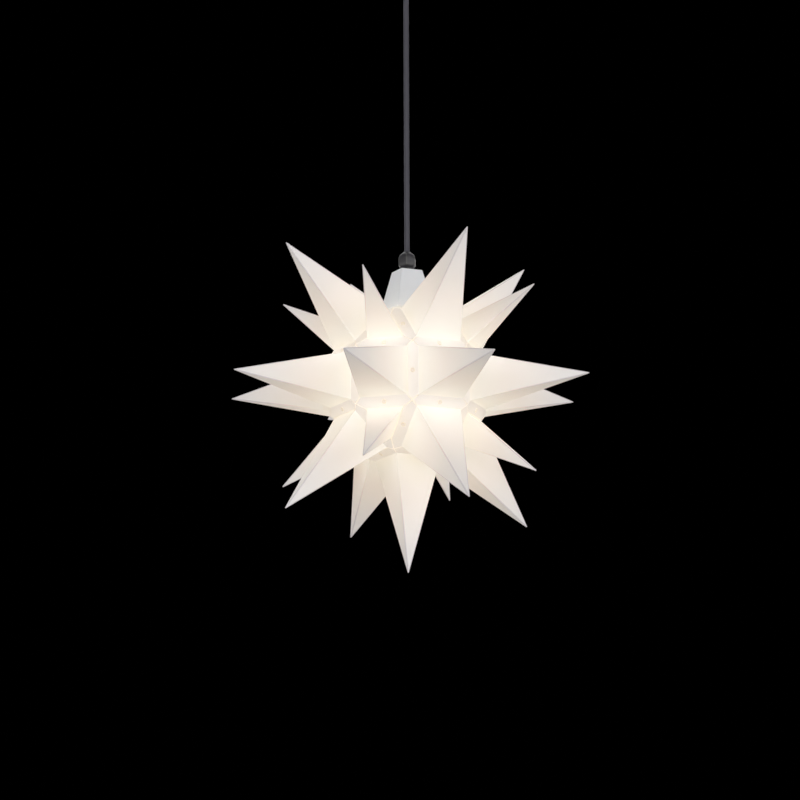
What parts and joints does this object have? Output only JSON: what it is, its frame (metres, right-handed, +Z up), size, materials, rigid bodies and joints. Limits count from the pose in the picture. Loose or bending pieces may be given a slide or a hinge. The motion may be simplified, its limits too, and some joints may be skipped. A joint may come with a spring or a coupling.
{
  "type": "moravian star lamp",
  "caption": "Lit star of hollow four-sided and three-sided points, hung from a hood with a cable gland on a cord with its ceiling fitting.",
  "frame": {"origin": "middle of the ceiling plate's upper face, where the part meets the ceiling", "axes": "+Z up to the ceiling, along the cord; -Y is the front; +X to the right"},
  "size_m": [0.4, 0.4, 0.71],
  "materials": {
    "star": "translucent moulded plastic, lit from inside",
    "gland": "dark grey, fine texture",
    "rubber": "matt black",
    "cord": "dark grey sheath",
    "brown": "brown insulation",
    "blue": "blue insulation",
    "holder": "moulded off-white",
    "ceramic": "glazed ceramic",
    "brass": "rolled",
    "nickel": "nickel plated",
    "lamp_black": "glossy",
    "lamp_white": "satin",
    "lamp_board": "matt",
    "lamp_globe": "opal, lit",
    "canopy": "satin",
    "steel": "zinc plated"
  },
  "bodies": {
    "ceiling_fitting": {"ceiling_plate": "steel", "ceiling_canopy": "canopy", "canopy_screw_front": "steel", "canopy_screw_back": "steel", "cord_grip": "canopy", "cord_grip_nut": "canopy", "terminal_block": "holder", "cord_head": "cord", "ceiling_core_brown": "brown", "ceiling_core_blue": "blue"},
    "strain_relief": {"strain_relief": "cord"},
    "cord": {"cord": "cord"},
    "pendant_head": {"hood": "star", "gland_washer": "rubber", "gland_body": "gland", "gland_seal": "rubber", "gland_cap_nut": "gland", "gland_lock_nut": "gland", "cord_tail": "cord", "lamp_core_brown": "brown", "lamp_core_blue": "blue", "lampholder_cap": "holder", "lampholder_body": "holder", "lampholder_insert": "ceramic", "lampholder_socket": "brass", "lampholder_contact": "brass"},
    "star_shell": {"point_lower_front": "star", "point_lower_left": "star", "point_lower": "star", "point_lower_right": "star", "point_lower_back": "star", "point_front_left": "star", "point_front": "star", "point_front_right": "star", "point_left": "star", "point_right": "star", "point_back_left": "star", "point_back": "star", "point_back_right": "star", "point_upper_front": "star", "point_upper_left": "star", "point_upper_right": "star", "point_upper_back": "star", "corner_point_lower_front_left": "star", "corner_point_lower_front_right": "star", "corner_point_lower_back_left": "star", "corner_point_lower_back_right": "star", "corner_point_upper_front_left": "star", "corner_point_upper_front_right": "star", "corner_point_upper_back_left": "star", "corner_point_upper_back_right": "star"},
    "lamp_contact": {"lamp_tip_contact": "nickel"},
    "lamp": {"lamp_insulator": "lamp_black", "lamp_cap": "nickel", "lamp_housing": "lamp_white", "lamp_board": "lamp_board", "lamp_driver": "lamp_board", "lamp_globe": "lamp_globe"}
  },
  "joints": [
    {"name": "swing", "type": "hinge", "parent": "ceiling_fitting", "child": "strain_relief", "pos_m": [0, 0, -0.0482], "axis": [1, 0, 0], "range_deg": [-15, 15]},
    {"name": "sway", "type": "hinge", "parent": "strain_relief", "child": "cord", "pos_m": [0, 0, -0.0811], "axis": [0, 1, 0], "range_deg": [-15, 15]},
    {"name": "twist", "type": "hinge", "parent": "cord", "child": "pendant_head", "pos_m": [0, 0, -0.364], "axis": [0, 0, 1], "range_deg": [-180, 180], "stiffness_Nm_per_rad": 0.01},
    {"name": "shell_lower", "type": "slide", "parent": "pendant_head", "child": "star_shell", "axis": [0, 0, -1], "range_m": [0, 0.12]},
    {"name": "lamp_drop", "type": "slide", "parent": "pendant_head", "child": "lamp_contact", "axis": [0, 0, -1], "range_m": [0, 0.00987]},
    {"name": "lamp_turn", "type": "hinge", "parent": "lamp_contact", "child": "lamp", "pos_m": [0, 0, -0.4295], "axis": [0, 0, -1], "range_deg": [0, 1260]}
  ],
  "couplings": [
    {"joint": "lamp_turn", "follows": "lamp_drop", "rad_per_m": 2228.1}
  ]
}
